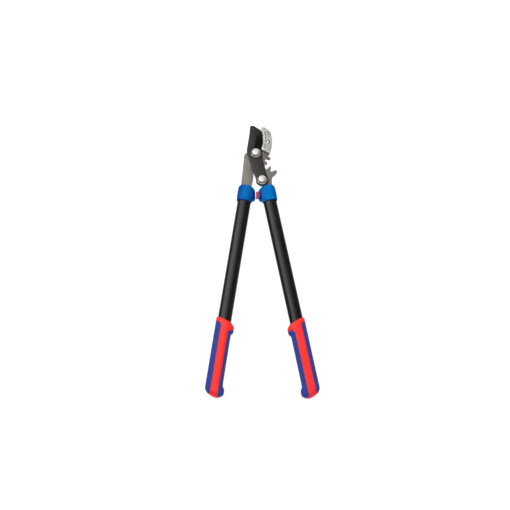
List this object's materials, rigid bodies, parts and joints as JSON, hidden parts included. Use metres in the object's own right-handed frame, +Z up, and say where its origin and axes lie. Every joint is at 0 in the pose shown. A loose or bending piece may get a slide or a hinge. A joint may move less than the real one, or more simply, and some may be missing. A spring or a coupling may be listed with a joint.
{
  "type": "geared anvil lopper",
  "caption": "Two-handed garden lopper with long tube handles, a black blade that closes on a pale anvil, and meshed gear sectors that multiply the force.",
  "frame": {"origin": "centre of the bounding box's underside, on the surface that the closed tool lies on, between the two grips and the jaw", "axes": "+Y along the tool from the grips to the jaw, +Z up out of its front face, where the bolt heads are, +X to the right of the jaw, on the anvil's side"},
  "size_m": [0.2452, 0.6324, 0.032],
  "materials": {
    "black_blade": "dark non-stick coating, satin",
    "plate_steel": "grey phosphated steel plate, stamped, satin",
    "anvil_alloy": "cast, satin",
    "bright_zinc": "bright zinc plate",
    "rivet_steel": "plain steel, satin",
    "tube_black": "black powder coat, half gloss",
    "collar_blue": "moulded blue plastic, soft gloss",
    "grip_red": "moulded red plastic, soft gloss",
    "grip_blue": "soft over-moulded grip, matt",
    "bumper_red": "rubber, matt"
  },
  "bodies": {
    "left_handle": {"hook_plate": "plate_steel", "anvil": "anvil_alloy", "anvil_rivet_upper": "rivet_steel", "anvil_rivet_lower": "rivet_steel", "main_bolt": "bright_zinc", "main_nut": "bright_zinc", "main_washer": "rivet_steel", "left_tube": "tube_black", "left_collar": "collar_blue", "left_pin_upper": "rivet_steel", "left_pin_lower": "rivet_steel", "left_grip_core": "grip_red", "left_grip_outer_panel": "grip_blue", "left_grip_inner_panel": "grip_blue"},
    "blade": {"blade": "black_blade", "lower_bolt": "bright_zinc", "lower_nut": "bright_zinc", "lower_washer": "rivet_steel"},
    "right_handle": {"arm_plate": "plate_steel", "right_tube": "tube_black", "right_collar": "collar_blue", "bumper": "bumper_red", "right_pin_upper": "rivet_steel", "right_pin_lower": "rivet_steel", "right_grip_core": "grip_red", "right_grip_outer_panel": "grip_blue", "right_grip_inner_panel": "grip_blue"}
  },
  "joints": [
    {"name": "blade_pivot", "type": "hinge", "parent": "left_handle", "child": "blade", "pos_m": [-0.0135, 0.24754, 0.02], "axis": [0, 0, 1], "range_deg": [0, 48]},
    {"name": "handle_pivot", "type": "hinge", "parent": "blade", "child": "right_handle", "pos_m": [0.00046, 0.18151, 0.02], "axis": [0, 0, 1], "range_deg": [0, 42]}
  ],
  "couplings": [
    {"joint": "handle_pivot", "follows": "blade_pivot", "ratio": 0.875}
  ]
}
